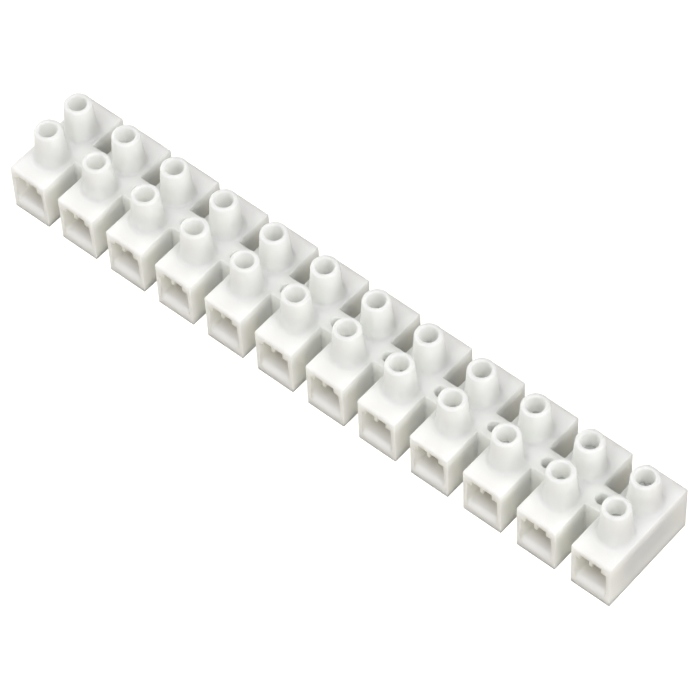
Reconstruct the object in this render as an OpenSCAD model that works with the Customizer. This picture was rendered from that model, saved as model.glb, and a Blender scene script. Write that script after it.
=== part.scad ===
// Terminal strip: a row of wire clamps in one moulded housing.
// Each way holds a brass clamp tube, with a slotted screw over each of the tube's two wire ends.
// The strip lies along X on its flat base, wires enter along Y and the screws stand along Z.
// Lengths are in millimetres.

/* [Strip] */
// Number of ways side by side
ways = 12; // [2:1:16]
// Distance from the middle of one way to the next
pitch = 10; // [9.2:0.1:13]

/* [Way] */
// Wall on each side of the wire channel
side_wall = 0.775; // [0.5:0.025:1]
// Floor under the wire channel
floor_t = 2.2; // [1.3:0.1:3]
// Roof over the grooves of the wire channel
roof_t = 1.05; // [0.6:0.05:2]
// Depth of the mouth in front of each end of the clamp tube
mouth_l = 3.3; // [1.2:0.1:4]
// Radius of the rounded sill under each mouth
sill_r = 0.9; // [0.2:0.1:1.1]
// Radius of the long top edges
edge_r = 0.3; // [0.1:0.05:0.5]
// Radius of the top edges over the mouths
brow_r = 0.5; // [0.1:0.05:0.8]

/* [Channel grooves] */
// Rib that hangs between the two grooves in the roof of the channel
rib_w = 0.56; // [0.3:0.02:1]
// Width of each groove
groove_w = 1.6; // [1:0.1:2]
// Height of the grooves above the channel
groove_h = 1; // [0.4:0.1:1.6]

/* [Chimneys] */
// Height of the screw chimneys above the ways
chimney_h = 6.4; // [3:0.1:9]
// Wall of a chimney at its rim
rim_wall = 0.78; // [0.5:0.02:1]
// How much a chimney widens from rim to foot
flare = 0.65; // [0.1:0.05:0.7]
// Radius of the rim's outer edge
rim_r = 0.3; // [0.1:0.05:0.4]
// Radius of the fillet round a chimney's foot
foot_r = 0.4; // [0.1:0.05:0.5]

/* [Webs] */
// Length of the webs that join the ways
web_l = 4.3; // [3:0.1:6]
// Radius of the top edges of the webs
web_edge_r = 0.1; // [0.05:0.05:0.5]
// Diameter of the fixing hole in each web
fixing_d = 2; // [1.4:0.1:2.4]

/* [Clamp tubes] */
// Width of a clamp tube
tube_w = 5.4; // [5:0.1:6]
// Height of a clamp tube
tube_h = 5; // [4.6:0.1:6]
// Length of a clamp tube
tube_l = 11.6; // [11:0.1:18]
// Diameter of the wire bore through a clamp tube
wire_d = 3.4; // [2.6:0.1:3.8]
// Wall under the wire bore
tube_floor = 0.6; // [0.4:0.1:0.9]
// Radius of a clamp tube's long edges
tube_edge_r = 0.5; // [0.2:0.05:0.8]
// Countersink at each end of the wire bore
bore_sink = 0.35; // [0.1:0.05:0.5]
// Room for a clamp tube at its sides and over it
tube_gap = 0.1; // [0.05:0.01:0.2]

/* [Clamp screws] */
// Thread diameter
thread_d = 2.5; // [2:0.1:3]
// Length of the shank under the head
shank_l = 4.5; // [3.6:0.1:6]
// How far the head stands proud of the thread all round
head_lip = 0.075; // [0.05:0.005:0.15]
// Height of the head
head_h = 1.3; // [0.9:0.1:2]
// Width of the driver slot
slot_w = 0.6; // [0.4:0.05:0.8]
// Depth of the driver slot
slot_h = 0.75; // [0.4:0.05:0.8]
// Distance between the two screws of a way
screw_span = 6.66; // [6:0.02:8]
// Running clearance of the thread in its tapped hole
thread_gap = 0.04; // [0.02:0.01:0.08]
// Running clearance of the head in its chimney
head_gap = 0.095; // [0.05:0.005:0.15]
// Height of an open screw's tip above the crown of the wire bore
open_lift = 0.15; // [0.05:0.05:0.4]
// How much further the last two screws at the back were left open
left_open = 0.5; // [0:0.05:0.6]

/* [Hidden] */
$fn = 64;
// Straight pieces that make up a quarter round
arc_steps = 5;
// How far a cut runs past the face that it opens
past = 1;
// Depth to which a chimney is rooted in its way
root = 0.25;

channel_w = tube_w + 2 * tube_gap;
channel_top = floor_t + tube_h + tube_gap;
groove_top = channel_top + groove_h;
way_w = channel_w + 2 * side_wall;
way_l = tube_l + 2 * mouth_l;
way_h = groove_top + roof_t;

thread_r = thread_d / 2;
head_r = thread_r + head_lip;
bore_r = head_r + head_gap;
rim_outer = bore_r + rim_wall;
foot_outer = rim_outer + flare;
lean = atan(flare / chimney_h);
foot_fillet = max(0.05, min(foot_r, way_w / 2 - edge_r - foot_outer));

crown_z = floor_t + tube_floor + wire_d;
screw_l = shank_l + head_h;

WAYS = [1:ways];
ENDS = [["front", -1], ["back", 1]];

// Name of one of a row of like pieces, numbered from the strip's left end
function numbered(name, way) = str(name, "_", way < 10 ? "0" : "", way);

// Place of a way along the strip, which is centred on the origin
function way_x(way) = (way - (ways + 1) / 2) * pitch;

// Angle at which each screw was left, so that the driver slots point all ways
function slot_turn(way, side) = (way * 67 + side * 31) % 180;

// Height at which each screw's tip was left
function tip_z(way, side) = crown_z + open_lift + (side > 0 && way > ways - 2 ? left_open : 0);

// Points along an arc, both of its ends included
function arc(centre, r, from, to) = [
    for (step = [0:arc_steps])
        let (a = from + (to - from) * step / arc_steps)
            centre + r * [cos(a), sin(a)]
];

// Outline that stands on the X axis and has its two top corners rounded
module arched(w, h, r) {
    polygon(concat(
        [[-w / 2, 0], [w / 2, 0]],
        arc([w / 2 - r, h - r], r, 0, 90),
        arc([r - w / 2, h - r], r, 90, 180)
    ));
}

// Extrudes an outline, drawn in X and Z, along Y
module along_y(l) {
    rotate([90, 0, 0]) linear_extrude(l, center = true) children();
}

// Extrudes an outline, drawn in Y and Z, along X
module along_x(l) {
    rotate([90, 0, 90]) linear_extrude(l, center = true) children();
}

// One way before it is hollowed out
module way_block() {
    intersection() {
        along_y(way_l) arched(way_w, way_h, edge_r);
        along_x(way_w) arched(way_l, way_h, brow_r);
    }
}

// Web between two ways, which it runs into as far as their middles
module web_block() {
    along_x(pitch) arched(web_l, way_h, web_edge_r);
}

// Tapered chimney, standing on its way, before it is bored
module chimney() {
    swell = (1 - sin(lean)) / cos(lean);
    foot_x = foot_outer + foot_fillet * swell;
    rim_x = rim_outer - rim_r * swell;
    rotate_extrude() polygon(concat(
        [[0, -root], [foot_x, -root]],
        arc([foot_x, foot_fillet], foot_fillet, 270, 180 + lean),
        arc([rim_x, chimney_h - rim_r], rim_r, lean, 90),
        [[0, chimney_h]]
    ));
}

// Wire channel from mouth to mouth: a rectangle with two grooves in its roof
module channel_outline() {
    translate([-channel_w / 2, floor_t]) square([channel_w, channel_top - floor_t]);
    for (side = [-1, 1])
        translate([side * (rib_w + groove_w) / 2 - groove_w / 2, floor_t])
            square([groove_w, groove_top - floor_t]);
}

// What rounding takes off the sill of the mouth at the strip's back
module sill_cut() {
    along_x(channel_w) difference() {
        translate([way_l / 2 - sill_r, floor_t - sill_r]) square([sill_r + past, sill_r + past]);
        translate([way_l / 2 - sill_r, floor_t - sill_r]) circle(sill_r);
    }
}

// Moulded housing: the ways, their chimneys and the webs with the fixing holes
module housing() {
    color("#f2f3f0") difference() {
        union() {
            for (way = WAYS) translate([way_x(way), 0, 0]) {
                way_block();
                for (end = ENDS) translate([0, end[1] * screw_span / 2, way_h]) chimney();
            }
            for (way = [1:ways - 1]) translate([way_x(way) + pitch / 2, 0, 0]) web_block();
        }
        for (way = WAYS) translate([way_x(way), 0, 0]) {
            along_y(way_l + 2 * past) channel_outline();
            sill_cut();
            mirror([0, 1, 0]) sill_cut();
            for (end = ENDS) translate([0, end[1] * screw_span / 2, channel_top - past])
                cylinder(r = bore_r, h = way_h + chimney_h - channel_top + 2 * past);
        }
        for (way = [1:ways - 1]) translate([way_x(way) + pitch / 2, 0, -past])
            cylinder(d = fixing_d, h = way_h + 2 * past);
    }
}

// Brass clamp tube of one way, lying on the floor of the channel
module clamp_tube(way) {
    color("#c9a24f") translate([way_x(way), 0, floor_t]) difference() {
        along_y(tube_l) intersection() {
            arched(tube_w, tube_h, tube_edge_r);
            translate([0, tube_h]) mirror([0, 1]) arched(tube_w, tube_h, tube_edge_r);
        }
        translate([0, 0, tube_floor + wire_d / 2]) rotate([90, 0, 0]) {
            cylinder(d = wire_d, h = tube_l + 2 * past, center = true);
            for (end = ENDS) mirror([0, 0, end[1] > 0 ? 1 : 0])
                translate([0, 0, tube_l / 2 - bore_sink])
                    cylinder(r1 = wire_d / 2, r2 = wire_d / 2 + bore_sink, h = bore_sink);
        }
        for (end = ENDS) translate([0, end[1] * screw_span / 2, tube_floor + wire_d / 2])
            cylinder(r = thread_r + thread_gap, h = tube_h);
    }
}

// Slotted clamp screw, backed out until its tip clears the wire bore
module clamp_screw(way, side) {
    tip_r = thread_r - thread_r / 4;
    crown = head_h / 6;
    color("#b9bcc0") translate([way_x(way), side * screw_span / 2, tip_z(way, side)])
        rotate([0, 0, slot_turn(way, side)]) difference() {
            rotate_extrude() polygon([
                [0, 0],
                [tip_r, 0],
                [thread_r, thread_r - tip_r],
                [thread_r, shank_l],
                [head_r, shank_l],
                [head_r, screw_l - crown],
                [head_r - crown, screw_l],
                [0, screw_l]
            ]);
            translate([-head_r - past, -slot_w / 2, screw_l - slot_h])
                cube([2 * (head_r + past), slot_w, slot_h + past]);
        }
}

housing();
for (way = WAYS)
    clamp_tube(way);
for (end = ENDS, way = WAYS)
    clamp_screw(way, end[1]);
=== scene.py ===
import math

import bmesh
import bpy
from mathutils import Matrix, Vector


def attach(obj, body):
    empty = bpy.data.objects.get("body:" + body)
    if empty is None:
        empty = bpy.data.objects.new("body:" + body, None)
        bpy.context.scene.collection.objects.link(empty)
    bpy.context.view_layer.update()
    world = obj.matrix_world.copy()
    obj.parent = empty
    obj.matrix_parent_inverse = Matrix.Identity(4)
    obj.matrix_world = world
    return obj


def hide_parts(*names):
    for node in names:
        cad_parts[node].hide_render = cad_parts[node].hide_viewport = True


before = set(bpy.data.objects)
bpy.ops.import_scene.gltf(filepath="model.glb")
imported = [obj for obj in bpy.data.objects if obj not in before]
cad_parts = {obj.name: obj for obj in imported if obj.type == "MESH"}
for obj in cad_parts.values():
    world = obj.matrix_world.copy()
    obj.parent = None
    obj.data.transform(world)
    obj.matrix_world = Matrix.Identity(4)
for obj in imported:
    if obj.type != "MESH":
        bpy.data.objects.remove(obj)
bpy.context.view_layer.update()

# Moulded housing: one white polypropylene moulding that joins twelve ways by webs.
# Each way is a box with a wire channel right through it and two tapered screw chimneys on top.
# The mould leaves soft top edges, a deep round on the sill of each mouth and a satin skin.
WAYS, PITCH = 12, 10.0
WAY_W, WAY_L, WAY_H = 7.15, 18.2, 9.35
CHANNEL_W, FLOOR_Z, CHANNEL_TOP = 5.6, 2.2, 7.3
RIB_W, GROOVE_W, GROOVE_TOP = 0.56, 1.6, 8.3
SCREW_SPAN = 6.66
WEB_L, FIXING_R, FIXING_LIP = 4.3, 1.0, 0.15
CHIMNEY_H, RIM_OUTER, FOOT_OUTER, FOOT_RING = 6.4, 2.2, 2.64, 3.24
BORE_R, BORE_END = 1.42, GROOVE_TOP + 0.5
FOOT_FILLET, RIM_ROUND, BORE_LIP = 0.57, 0.42, 0.3
# Radii at the mouths: the sill, the brow over it, the jambs beside it and the way's outer corners.
SILL_R, BROW_R, JAMB_R, CORNER_R = 0.9, 0.5, 0.25, 0.2
# Radii elsewhere: the other top edges, the roots of the webs, the channel's lower corners and the base.
EDGE_R, WEB_ROOT_R, CHANNEL_R, BASE_R = 0.2, 0.25, 0.4, 0.06
ROUND_STEPS = 48
NEAR = 1e-4
SHARP = math.radians(50)
CREASE = math.radians(38)
# Sizes are in millimetres up to the last step of each piece, which turns them to metres.
MM = 0.001


def way_x(way):
    """Place of a way along the strip, counted from its left end."""
    return (way - (WAYS + 1) / 2) * PITCH


def near(a, b):
    """Whether two sizes are the same but for rounding."""
    return abs(a - b) < NEAR


def edges_where(bm, test):
    """Edges whose two ends both pass a test of their place."""
    return [e for e in bm.edges if all(test(v.co) for v in e.verts)]


def faces_where(bm, test):
    """Faces whose corners all pass a test of their place."""
    return [f for f in bm.faces if all(test(v.co) for v in f.verts)]


def verts_in(geometry):
    """Vertices among what an operator has made."""
    return [g for g in geometry if isinstance(g, bmesh.types.BMVert)]


def round_off(bm, geometry, radius, steps, affect="EDGES"):
    """Rounds edges, or the corners of an outline."""
    bmesh.ops.bevel(bm, geom=geometry, offset=radius, offset_type="OFFSET", affect=affect,
                    segments=steps, profile=0.5, clamp_overlap=False, material=-1)


def way_box():
    """One way without its chimneys: half of its end section, run along the wires and mirrored."""
    bm = bmesh.new()
    floor_half = [(0, 0), (CHANNEL_W / 2, 0), (CHANNEL_W / 2, FLOOR_Z), (0, FLOOR_Z)]
    wall_half = [
        (CHANNEL_W / 2, 0),
        (WAY_W / 2, 0),
        (WAY_W / 2, WAY_H),
        (0, WAY_H),
        (0, CHANNEL_TOP),
        (RIB_W / 2, CHANNEL_TOP),
        (RIB_W / 2, GROOVE_TOP),
        (RIB_W / 2 + GROOVE_W, GROOVE_TOP),
        (RIB_W / 2 + GROOVE_W, CHANNEL_TOP),
        (CHANNEL_W / 2, CHANNEL_TOP),
        (CHANNEL_W / 2, FLOOR_Z),
    ]
    stations = [-WAY_L / 2, -SCREW_SPAN, -WEB_L / 2, 0, WEB_L / 2, SCREW_SPAN, WAY_L / 2]
    places = dict.fromkeys(floor_half + wall_half)
    corners = {(x, z): bm.verts.new((x, stations[0], z)) for x, z in places}
    section = [bm.faces.new([corners[at] for at in half]) for half in (floor_half, wall_half)]
    for here, there in zip(stations, stations[1:]):
        run = bmesh.ops.extrude_face_region(bm, geom=section)["geom"]
        section = [g for g in run if isinstance(g, bmesh.types.BMFace)]
        bmesh.ops.translate(bm, vec=(0, there - here, 0), verts=verts_in(run))
    inside = faces_where(bm, lambda co: near(co.x, 0))
    for y in stations[1:-1]:
        inside += faces_where(bm, lambda co: near(co.y, y))
    bmesh.ops.delete(bm, geom=inside, context="FACES")
    bmesh.ops.mirror(bm, geom=[*bm.verts, *bm.edges, *bm.faces], axis="X", merge_dist=NEAR)
    bmesh.ops.recalc_face_normals(bm, faces=bm.faces)
    sills = edges_where(bm, lambda co: near(abs(co.y), WAY_L / 2) and near(co.z, FLOOR_Z))
    round_off(bm, sills, SILL_R, steps=7)
    return bm


def raise_chimney(bm, y):
    """Opens the top of a way over one screw and raises the chimney there, in one skin with the way."""
    def on_foot(co):
        return near(co.z, WAY_H) and abs(co.y - y) < SCREW_SPAN / 2 + NEAR

    def on_ring(co, r, z):
        return near(co.z, z) and near(math.hypot(co.x, co.y - y), r)

    bmesh.ops.delete(bm, geom=faces_where(bm, on_foot), context="FACES")
    square = edges_where(bm, on_foot)
    line = [
        (FOOT_RING, WAY_H),
        (FOOT_OUTER, WAY_H),
        (RIM_OUTER, WAY_H + CHIMNEY_H),
        (BORE_R, WAY_H + CHIMNEY_H),
        (BORE_R, BORE_END),
    ]
    points = [bm.verts.new((r, y, z)) for r, z in line]
    for pair in zip(points, points[1:]):
        bm.edges.new(pair)
    round_off(bm, [points[1]], FOOT_FILLET, steps=9, affect="VERTICES")
    round_off(bm, [points[2]], RIM_ROUND, steps=7, affect="VERTICES")
    round_off(bm, [points[3]], BORE_LIP, steps=6, affect="VERTICES")
    outline = [e for e in bm.edges if e.is_wire]
    outline_verts = list(dict.fromkeys(v for e in outline for v in e.verts))
    bmesh.ops.spin(bm, geom=[*outline_verts, *outline], cent=(0, y, 0), axis=(0, 0, 1),
                   angle=math.tau, steps=ROUND_STEPS, use_merge=True)
    ring = edges_where(bm, lambda co: on_ring(co, FOOT_RING, WAY_H))
    bmesh.ops.bridge_loops(bm, edges=square + ring)
    bore_end = edges_where(bm, lambda co: on_ring(co, BORE_R, BORE_END))
    bmesh.ops.contextual_create(bm, geom=bore_end)


def on_top_edge(co, length):
    """Whether a place is on a long top edge of a way, within a length from its middle."""
    return near(co.z, WAY_H) and near(abs(co.x), WAY_W / 2) and abs(co.y) < length + NEAR


bm = way_box()
over_web = edges_where(bm, lambda co: on_top_edge(co, WEB_L / 2))
past_web = [e for e in edges_where(bm, lambda co: on_top_edge(co, SCREW_SPAN)) if e not in over_web]
across = edges_where(bm, lambda co: near(co.z, WAY_H) and (near(co.y, 0) or near(abs(co.y), SCREW_SPAN)))
for group, parts in ((over_web, 4), (past_web, 8), (across, 6)):
    bmesh.ops.bisect_edges(bm, edges=group, cuts=parts - 1)
for side in (-1, 1):
    raise_chimney(bm, side * SCREW_SPAN / 2)
bmesh.ops.remove_doubles(bm, verts=bm.verts, dist=NEAR)

one_way = [*bm.verts, *bm.edges, *bm.faces]
for way in range(2, WAYS + 1):
    copy = bmesh.ops.duplicate(bm, geom=one_way)["geom"]
    bmesh.ops.translate(bm, vec=(way_x(way), 0, 0), verts=verts_in(copy))
bmesh.ops.translate(bm, vec=(way_x(1), 0, 0), verts=verts_in(one_way))

# The webs: the walls that face each other across a gap are opened, and the openings are joined.
for way in range(1, WAYS):
    walls = []
    for x in (way_x(way) + WAY_W / 2, way_x(way + 1) - WAY_W / 2):
        walls += faces_where(bm, lambda co: near(co.x, x) and abs(co.y) < WEB_L / 2 + NEAR)
    rims = list(dict.fromkeys(e for f in walls for e in f.edges))
    bmesh.ops.delete(bm, geom=walls, context="FACES_ONLY")
    bmesh.ops.delete(bm, geom=[e for e in rims if e.is_wire], context="EDGES")
    bmesh.ops.bridge_loops(bm, edges=[e for e in rims if e.is_valid])
bmesh.ops.recalc_face_normals(bm, faces=bm.faces)


def off_way(co):
    """Distance from the middle of the nearest way, along the strip."""
    return abs((co.x - way_x(1) + PITCH / 2) % PITCH - PITCH / 2)


beside_webs = edges_where(bm, lambda co: near(off_way(co), WAY_W / 2) and near(abs(co.y), WEB_L / 2))
web_roots = [e for e in beside_webs if not e.is_convex and e.calc_face_angle() > SHARP]
round_off(bm, web_roots, WEB_ROOT_R, steps=4)

# Each sharp edge gets its own radius, as a share of the largest one.
share = bm.edges.layers.float.new("bevel_weight_edge")
for edge in bm.edges:
    if len(edge.link_faces) != 2 or edge.calc_face_angle() < SHARP:
        continue
    a, b = (v.co for v in edge.verts)
    middle, run = (a + b) / 2, [abs(x) for x in b - a]
    at_mouth = near(abs(middle.y), WAY_L / 2)
    upright = run[2] > max(run[0], run[1])
    by_flank, by_channel = near(off_way(middle), WAY_W / 2), near(off_way(middle), CHANNEL_W / 2)
    if near(middle.z, WAY_H):
        radius = BROW_R if at_mouth else EDGE_R
    elif near(middle.z, 0):
        radius = BASE_R
    elif at_mouth and upright and by_flank:
        radius = CORNER_R
    elif at_mouth and upright and by_channel and edge.is_convex:
        radius = JAMB_R
    elif by_channel and middle.z < FLOOR_Z + NEAR and not edge.is_convex:
        radius = CHANNEL_R
    else:
        radius = 0
    edge[share] = radius / BROW_R


def to_object(bm, name):
    """Puts a bmesh that is done with into a new object of the scene."""
    mesh = bpy.data.meshes.new(name)
    bm.to_mesh(mesh)
    bm.free()
    made = bpy.data.objects.new(name, mesh)
    bpy.context.collection.objects.link(made)
    return made


def add_pin(bm, at, low, high, radii, steps, capped=True):
    """Adds an upright round pin to cut with, from one height to another."""
    pin = bmesh.ops.create_cone(bm, cap_ends=capped, segments=steps, radius1=radii[0], radius2=radii[1],
                                depth=high - low)
    bmesh.ops.translate(bm, vec=(*at, (low + high) / 2), verts=pin["verts"])


def cut_out(draft, tool, name):
    """Cuts a tool out of a draft: a mesh in metres, smooth but for its sharp edges. Drops both."""
    cut = draft.modifiers.new("cut", "BOOLEAN")
    cut.operation, cut.solver, cut.object = "DIFFERENCE", "EXACT", tool
    mesh = bpy.data.meshes.new_from_object(draft.evaluated_get(bpy.context.evaluated_depsgraph_get()))
    mesh.name = name
    mesh.transform(Matrix.Scale(MM, 4))
    mesh.shade_smooth()
    mesh.set_sharp_from_angle(angle=CREASE)
    for spent in (draft, tool):
        bpy.data.objects.remove(spent)
    return mesh


housing_draft = to_object(bm, "housing_draft")
rounding = housing_draft.modifiers.new("mould_radii", "BEVEL")
rounding.limit_method, rounding.width, rounding.segments = "WEIGHT", BROW_R, 4
rounding.profile, rounding.use_clamp_overlap = 0.5, False

# The pins of the mould: one through the roof under each chimney, and a flared one through each web.
CORE_R, CORE_LOW, CORE_HIGH = BORE_R - 0.04, CHANNEL_TOP - 0.5, BORE_END + 0.4
PIN_LOW, PIN_STEPS = -1, 36
LIP_LOW, LIP_HIGH, LIP_R = WAY_H - FIXING_LIP, WAY_H + FIXING_LIP, FIXING_R + 2 * FIXING_LIP
bm = bmesh.new()
for way in range(1, WAYS + 1):
    for side in (-1, 1):
        add_pin(bm, (way_x(way), side * SCREW_SPAN / 2), CORE_LOW, CORE_HIGH, (CORE_R, CORE_R), ROUND_STEPS)
for way in range(1, WAYS):
    on_web = (way_x(way) + PITCH / 2, 0)
    add_pin(bm, on_web, PIN_LOW, LIP_LOW, (FIXING_R, FIXING_R), PIN_STEPS, capped=False)
    add_pin(bm, on_web, LIP_LOW, LIP_HIGH, (FIXING_R, LIP_R), PIN_STEPS, capped=False)
bmesh.ops.remove_doubles(bm, verts=bm.verts, dist=NEAR)
bmesh.ops.holes_fill(bm, edges=[e for e in bm.edges if e.is_boundary])
bmesh.ops.recalc_face_normals(bm, faces=bm.faces)
housing_mesh = cut_out(housing_draft, to_object(bm, "mould_pins"), "moulded_housing")
housing = bpy.data.objects.new("moulded_housing", housing_mesh)
bpy.context.collection.objects.link(housing)
even = housing.modifiers.new("even_shading", "WEIGHTED_NORMAL")
even.keep_sharp, even.weight = True, 50


def linear(hex_colour):
    """Linear colour, with alpha, of an sRGB hex value."""
    parts = [int(hex_colour[at:at + 2], 16) / 255 for at in (1, 3, 5)]
    return [*(p / 12.92 if p <= 0.04045 else ((p + 0.055) / 1.055) ** 2.4 for p in parts), 1.0]


def bare_material(name):
    """A material that has no nodes yet."""
    material = bpy.data.materials.new(name)
    material.use_nodes = True
    material.node_tree.nodes.clear()
    return material


def add_node(material, kind, sockets, **settings):
    """Adds a node to a material. A socket takes a value, or the output of another node."""
    node = material.node_tree.nodes.new(kind)
    for name, value in settings.items():
        setattr(node, name, value)
    for name, value in sockets.items():
        if isinstance(value, bpy.types.NodeSocket):
            material.node_tree.links.new(value, node.inputs[name])
        else:
            node.inputs[name].default_value = value
    return node


# White polypropylene, injection moulded: satin from a spark-eroded mould, with light going deep into it.
# The eye sees soft gloss on the radii, edges that glow a little, and shadows filled with warm white.
# A Mix node's colour sockets share their names with others, so they go by number.
MIX_A, MIX_B, MIX_OUT = 6, 7, 2
polypropylene = bare_material("white_polypropylene")
place = add_node(polypropylene, "ShaderNodeTexCoord", {})
# Slow waves of the melt, about 9 mm long.
melt = add_node(polypropylene, "ShaderNodeTexNoise", {
    "Vector": place.outputs["Object"],
    "Scale": 1 / (9 * MM),
    "Detail": 2.0,
})
tint = add_node(polypropylene, "ShaderNodeMix", {
    "Factor": melt.outputs["Fac"],
    MIX_A: linear("#fafcf3"),
    MIX_B: linear("#fcfdf8"),
}, data_type="RGBA")
# The mould's spark-eroded grain is about 0.05 mm; it is drawn at 0.3 mm so that it shows.
grain = add_node(polypropylene, "ShaderNodeTexNoise", {
    "Vector": place.outputs["Object"],
    "Scale": 1 / (0.3 * MM),
    "Detail": 3.0,
})
gloss = add_node(polypropylene, "ShaderNodeMapRange", {
    "Value": grain.outputs["Fac"],
    "To Min": 0.48,
    "To Max": 0.62,
})
relief = add_node(polypropylene, "ShaderNodeBump", {
    "Height": grain.outputs["Fac"],
    "Strength": 0.1,
    "Distance": 0.02 * MM,
})
skin = add_node(polypropylene, "ShaderNodeBsdfPrincipled", {
    "Base Color": tint.outputs[MIX_OUT],
    "Roughness": gloss.outputs["Result"],
    "IOR": 1.49,
    "Normal": relief.outputs["Normal"],
    "Subsurface Weight": 1.0,
    "Subsurface Radius": (1.0, 1.0, 0.95),
    "Subsurface Scale": 4.5 * MM,
})
add_node(polypropylene, "ShaderNodeOutputMaterial", {"Surface": skin.outputs["BSDF"]})
housing.data.materials.clear()
housing.data.materials.append(polypropylene)
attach(housing, "strip")
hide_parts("housing")

# Clamp tubes: a length of drawn brass bar in each way, drilled for the wires and tapped twice from above.
# Their ends are countersunk so that strands find the bore, and their outer edges are deburred.
TUBE_W, TUBE_H, TUBE_L = 5.4, 5.0, 11.6
WIRE_R, WIRE_Z = 1.7, FLOOR_Z + 2.3
TUBE_EDGE_R, BORE_SINK, DEBURR = 0.5, 0.35, 0.1
TAPPED_R, TAP_STEPS = 1.29, 40


def bar_loop(bm, y, inset):
    """Outline of the bar at one place along it, with rounded corners and drawn in by an inset."""
    def outside(co):
        return near(co.y, y) and math.hypot(co.x, co.z - WIRE_Z) > WIRE_R + BORE_SINK + NEAR

    half, low, high = TUBE_W / 2 - inset, FLOOR_Z + inset, FLOOR_Z + TUBE_H - inset
    corners = [bm.verts.new((x, y, z)) for x, z in ((-half, low), (half, low), (half, high), (-half, high))]
    for i in range(len(corners)):
        bm.edges.new((corners[i - 1], corners[i]))
    round_off(bm, corners, TUBE_EDGE_R - inset, steps=5, affect="VERTICES")
    sides = [e for e in edges_where(bm, outside) if e.calc_length() > TUBE_EDGE_R]
    bmesh.ops.bisect_edges(bm, edges=sides, cuts=6)
    return edges_where(bm, outside)


def edges_at(verts):
    """Edges that meet at any of some vertices, each once."""
    return list(dict.fromkeys(e for v in verts for e in v.link_edges))


def bore_loop(bm, y, r):
    """Round of the wire bore at one place along it."""
    across_bar = Matrix.Translation((0, y, WIRE_Z)) @ Matrix.Rotation(math.pi / 2, 4, "X")
    return edges_at(bmesh.ops.create_circle(bm, segments=ROUND_STEPS, radius=r, matrix=across_bar)["verts"])


bm = bmesh.new()
loops = [
    bore_loop(bm, -TUBE_L / 2 + BORE_SINK, WIRE_R),
    bore_loop(bm, -TUBE_L / 2, WIRE_R + BORE_SINK),
    bar_loop(bm, -TUBE_L / 2, DEBURR),
    bar_loop(bm, -TUBE_L / 2 + DEBURR, 0),
    bar_loop(bm, TUBE_L / 2 - DEBURR, 0),
    bar_loop(bm, TUBE_L / 2, DEBURR),
    bore_loop(bm, TUBE_L / 2, WIRE_R + BORE_SINK),
    bore_loop(bm, TUBE_L / 2 - BORE_SINK, WIRE_R),
]
for loop, following in zip(loops, loops[1:] + loops[:1]):
    bmesh.ops.bridge_loops(bm, edges=loop + following)
bmesh.ops.recalc_face_normals(bm, faces=bm.faces)
bar_draft = to_object(bm, "bar_draft")
bm = bmesh.new()
for side in (-1, 1):
    add_pin(bm, (0, side * SCREW_SPAN / 2), WIRE_Z, WIRE_Z + TUBE_H, (TAPPED_R, TAPPED_R), TAP_STEPS)
brass_bar = cut_out(bar_draft, to_object(bm, "taps"), "brass_bar")

# Drawn brass: fine die lines run along the bar, and handling has dulled it in soft patches.
brass = bare_material("drawn_brass")
place = add_node(brass, "ShaderNodeTexCoord", {})
# Die lines are about 0.05 mm apart and many millimetres long; they are drawn at 0.2 mm so that they show.
drawn_out = add_node(brass, "ShaderNodeMapping", {
    "Vector": place.outputs["Object"],
    "Scale": (1.0, 0.02, 1.0),
})
lines = add_node(brass, "ShaderNodeTexNoise", {
    "Vector": drawn_out.outputs["Vector"],
    "Scale": 1 / (0.2 * MM),
    "Detail": 3.0,
})
# Dull patches are about 3 mm across.
patches = add_node(brass, "ShaderNodeTexNoise", {
    "Vector": place.outputs["Object"],
    "Scale": 1 / (3 * MM),
    "Detail": 3.0,
})
tarnish = add_node(brass, "ShaderNodeMix", {
    "Factor": patches.outputs["Fac"],
    MIX_A: linear("#94803f"),
    MIX_B: linear("#bda062"),
}, data_type="RGBA")
gloss = add_node(brass, "ShaderNodeMapRange", {
    "Value": lines.outputs["Fac"],
    "To Min": 0.24,
    "To Max": 0.42,
})
relief = add_node(brass, "ShaderNodeBump", {
    "Height": lines.outputs["Fac"],
    "Strength": 0.15,
    "Distance": 0.02 * MM,
})
metal = add_node(brass, "ShaderNodeBsdfPrincipled", {
    "Base Color": tarnish.outputs[MIX_OUT],
    "Metallic": 1.0,
    "Roughness": gloss.outputs["Result"],
    "Normal": relief.outputs["Normal"],
})
add_node(brass, "ShaderNodeOutputMaterial", {"Surface": metal.outputs["BSDF"]})
for way in range(1, WAYS + 1):
    mesh = brass_bar.copy()
    mesh.transform(Matrix.Translation((way_x(way) * MM, 0, 0)))
    mesh.materials.clear()
    mesh.materials.append(brass)
    tube = bpy.data.objects.new(f"brass_tube_{way:02d}", mesh)
    bpy.context.collection.objects.link(tube)
    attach(tube, "strip")
    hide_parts(f"clamp_tube_{way:02d}")

# Clamp screws: small slotted steel screws with a rolled thread, turned heads and a zinc plating.
# They stand backed out in their chimneys, each with its slot at the angle at which it was left.
THREAD_R, THREAD_PITCH, THREAD_DEPTH = 1.25, 0.45, 0.27
SHANK_L, HEAD_R, HEAD_H, CROWN_R = 4.5, 1.325, 1.3, 0.2
SLOT_W, SLOT_H = 0.6, 0.75
TIP_R, TIP_H = 0.94, 0.31
OPEN_TIP_Z, LEFT_OPEN = 6.35, 0.5
TURN_STEPS = 32
# Slot angles in degrees: steps from way to way and from side to side that leave no two neighbours alike.
WAY_TURN, SIDE_TURN = 67, 31

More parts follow.
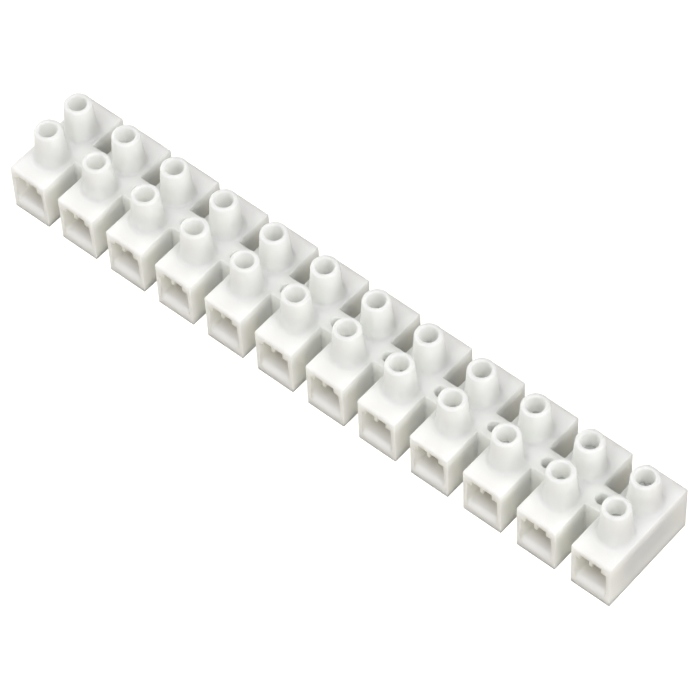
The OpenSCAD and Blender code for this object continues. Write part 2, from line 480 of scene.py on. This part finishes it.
# One turn of the thread in section: root, flank, crest, flank and root, as shares of its pitch.
bm = bmesh.new()
root, crest = THREAD_R - THREAD_DEPTH, THREAD_R
ridge = [(root, 0), (root, 0.12), (crest, 0.44), (crest, 0.56), (root, 0.88), (root, 1)]
points = [bm.verts.new((r, 0, (share_up - 1) * THREAD_PITCH)) for r, share_up in ridge]
edges = [bm.edges.new(pair) for pair in zip(points, points[1:])]
turns = math.ceil(SHANK_L / THREAD_PITCH) + 1
bmesh.ops.spin(bm, geom=[*points, *edges], cent=(0, 0, 0), axis=(0, 0, 1), angle=math.tau * turns,
               steps=TURN_STEPS * turns, dvec=(0, 0, THREAD_PITCH / TURN_STEPS), use_merge=False)
bmesh.ops.remove_doubles(bm, verts=bm.verts, dist=NEAR)
for height, outwards in ((TIP_H, (0, 0, -1)), (SHANK_L, (0, 0, 1))):
    bmesh.ops.bisect_plane(bm, geom=[*bm.verts, *bm.edges, *bm.faces], dist=NEAR,
                           plane_co=(0, 0, height), plane_no=outwards, clear_outer=True)
tip_rim = edges_where(bm, lambda co: near(co.z, TIP_H))
shank_top = edges_where(bm, lambda co: near(co.z, SHANK_L))
tip = bmesh.ops.create_circle(bm, segments=TURN_STEPS, radius=TIP_R, cap_ends=True)["verts"]
bmesh.ops.bridge_loops(bm, edges=tip_rim + edges_at(tip))
under_head = bmesh.ops.create_circle(bm, segments=ROUND_STEPS, radius=HEAD_R,
                                     matrix=Matrix.Translation((0, 0, SHANK_L)))["verts"]
head_rim = edges_at(under_head)
bmesh.ops.bridge_loops(bm, edges=shank_top + head_rim)
wall = bmesh.ops.extrude_edge_only(bm, edges=head_rim)["geom"]
bmesh.ops.translate(bm, vec=(0, 0, HEAD_H), verts=verts_in(wall))
wall_top = [g for g in wall if isinstance(g, bmesh.types.BMEdge)]
crown = bmesh.ops.contextual_create(bm, geom=wall_top)["faces"][0]
bmesh.ops.recalc_face_normals(bm, faces=bm.faces)
round_off(bm, list(crown.edges), CROWN_R, steps=4)
screw_draft = to_object(bm, "screw_draft")
bm = bmesh.new()
saw = bmesh.ops.create_cube(bm, size=1.0)["verts"]
bmesh.ops.scale(bm, vec=(4 * HEAD_R, SLOT_W, 2 * SLOT_H), verts=saw)
bmesh.ops.translate(bm, vec=(0, 0, SHANK_L + HEAD_H), verts=saw)
screw = cut_out(screw_draft, to_object(bm, "slot_saw"), "screw")

# Zinc plating over turned steel: pale grey and softly bright, with a trace of blue in patches.
zinc = bare_material("zinc_plated_steel")
place = add_node(zinc, "ShaderNodeTexCoord", {})
# Patches of the passivated plating are about 0.6 mm across.
patches = add_node(zinc, "ShaderNodeTexNoise", {
    "Vector": place.outputs["Object"],
    "Scale": 1 / (0.6 * MM),
    "Detail": 3.0,
})
plating = add_node(zinc, "ShaderNodeMix", {
    "Factor": patches.outputs["Fac"],
    MIX_A: linear("#aeb2b6"),
    MIX_B: linear("#cfd0cd"),
}, data_type="RGBA")
gloss = add_node(zinc, "ShaderNodeMapRange", {
    "Value": patches.outputs["Fac"],
    "To Min": 0.25,
    "To Max": 0.42,
})
metal = add_node(zinc, "ShaderNodeBsdfPrincipled", {
    "Base Color": plating.outputs[MIX_OUT],
    "Metallic": 1.0,
    "Roughness": gloss.outputs["Result"],
})
add_node(zinc, "ShaderNodeOutputMaterial", {"Surface": metal.outputs["BSDF"]})
for end, side in (("front", -1), ("back", 1)):
    for way in range(1, WAYS + 1):
        node = f"screw_{end}_{way:02d}"
        slot_turn = math.radians((way * WAY_TURN + side * SIDE_TURN) % 180)
        # The last two at the back stand further open.
        further = LEFT_OPEN if end == "back" and way > WAYS - 2 else 0
        seat = Vector((way_x(way), side * SCREW_SPAN / 2, OPEN_TIP_Z + further)) * MM
        mesh = screw.copy()
        mesh.transform(Matrix.Translation(seat) @ Matrix.Rotation(slot_turn, 4, "Z"))
        mesh.materials.clear()
        mesh.materials.append(zinc)
        placed = bpy.data.objects.new(f"slotted_{node}", mesh)
        bpy.context.collection.objects.link(placed)
        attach(placed, node)
        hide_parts(node)

# Studio: a floor that is seen as white, with five soft boxes round the strip, each a metre away.
# The camera stands where the photograph was taken from, with a long lens. Sizes here are in metres.
FLOOR_HALF, FLOOR_DROP, FLOOR_LIFT = 4.0, 0.00002, 0.88
ROOM_LIGHT = 0.18


def looked_at(tree):
    """Is 1 for rays that show the background: straight from the camera, or by way of metal or glass."""
    ray = add_node(tree, "ShaderNodeLightPath", {})
    seen = add_node(tree, "ShaderNodeMath", {
        0: ray.outputs["Is Camera Ray"],
        1: ray.outputs["Is Glossy Ray"],
    }, operation="MAXIMUM")
    seen_or_through = add_node(tree, "ShaderNodeMath", {
        0: seen.outputs[0],
        1: ray.outputs["Is Transmission Ray"],
    }, operation="MAXIMUM")
    return seen_or_through.outputs[0]


bm = bmesh.new()
bmesh.ops.create_grid(bm, x_segments=1, y_segments=1, size=FLOOR_HALF,
                      matrix=Matrix.Translation((0, 0, -FLOOR_DROP)))
floor = to_object(bm, "white_floor")
# White paper, matt: it takes the strip's soft shadow, and is lifted to white where it is looked at.
paper = bare_material("white_paper")
matt = add_node(paper, "ShaderNodeBsdfDiffuse", {"Color": linear("#c6c1b3")})
lift = add_node(paper, "ShaderNodeEmission", {"Color": linear("#ffffff"), "Strength": FLOOR_LIFT})
lifted = add_node(paper, "ShaderNodeAddShader", {0: matt.outputs["BSDF"], 1: lift.outputs["Emission"]})
ground = add_node(paper, "ShaderNodeMixShader", {
    "Fac": looked_at(paper),
    1: matt.outputs["BSDF"],
    2: lifted.outputs["Shader"],
})
# From below the floor is clear, so that the strip's base can be looked at.
turned = add_node(paper, "ShaderNodeNewGeometry", {})
clear = add_node(paper, "ShaderNodeBsdfTransparent", {})
sided = add_node(paper, "ShaderNodeMixShader", {
    "Fac": turned.outputs["Backfacing"],
    1: ground.outputs["Shader"],
    2: clear.outputs["BSDF"],
})
add_node(paper, "ShaderNodeOutputMaterial", {"Surface": sided.outputs["Shader"]})
floor.data.materials.append(paper)

sky = bpy.data.worlds.new("white_room")
bpy.context.scene.world = sky
sky.use_nodes = True
sky.node_tree.nodes.clear()
level = add_node(sky, "ShaderNodeMapRange", {"Value": looked_at(sky), "To Min": ROOM_LIGHT, "To Max": 1.0})
air = add_node(sky, "ShaderNodeBackground", {"Color": linear("#ffffff"), "Strength": level.outputs["Result"]})
add_node(sky, "ShaderNodeOutputWorld", {"Surface": air.outputs["Background"]})

# Each soft box looks at the strip from one side, given by its bearing and its height in degrees.
BOX_SIZE = 0.6
for name, bearing, height, watts in (
    ("box_over_camera", -47, 67, 4.1),
    ("box_in_front", -87, 35, 1.6),
    ("box_at_front_left", -132, 35, 1.3),
    ("box_off_left_end", 178, 35, 3.4),
    ("box_off_right_end", -7, 35, 4.4),
):
    lamp = bpy.data.lights.new(name, "AREA")
    lamp.size, lamp.energy = BOX_SIZE, watts
    stand = bpy.data.objects.new(name, lamp)
    a, e = math.radians(bearing), math.radians(height)
    stand.location = Vector((math.cos(e) * math.cos(a), math.cos(e) * math.sin(a), math.sin(e)))
    stand.rotation_euler = (-stand.location).to_track_quat("-Z", "Y").to_euler()
    bpy.context.collection.objects.link(stand)

EYE, AIM = Vector((0.231787, -0.248503, 0.470177)), Vector((0.002579, -0.000381, 0.005))
ROLL = math.radians(-3.0749)
SENSOR_MM, LENS_MM = 36.0, 197.716
lens = bpy.data.cameras.new("camera")
lens.sensor_width, lens.lens = SENSOR_MM, LENS_MM
camera = bpy.data.objects.new("camera", lens)
camera.location = EYE
level_view = (AIM - EYE).to_track_quat("-Z", "Y").to_matrix()
camera.rotation_euler = (level_view @ Matrix.Rotation(ROLL, 3, "Z")).to_euler()
bpy.context.collection.objects.link(camera)
bpy.context.scene.camera = camera
bpy.context.scene.view_settings.view_transform = "Standard"
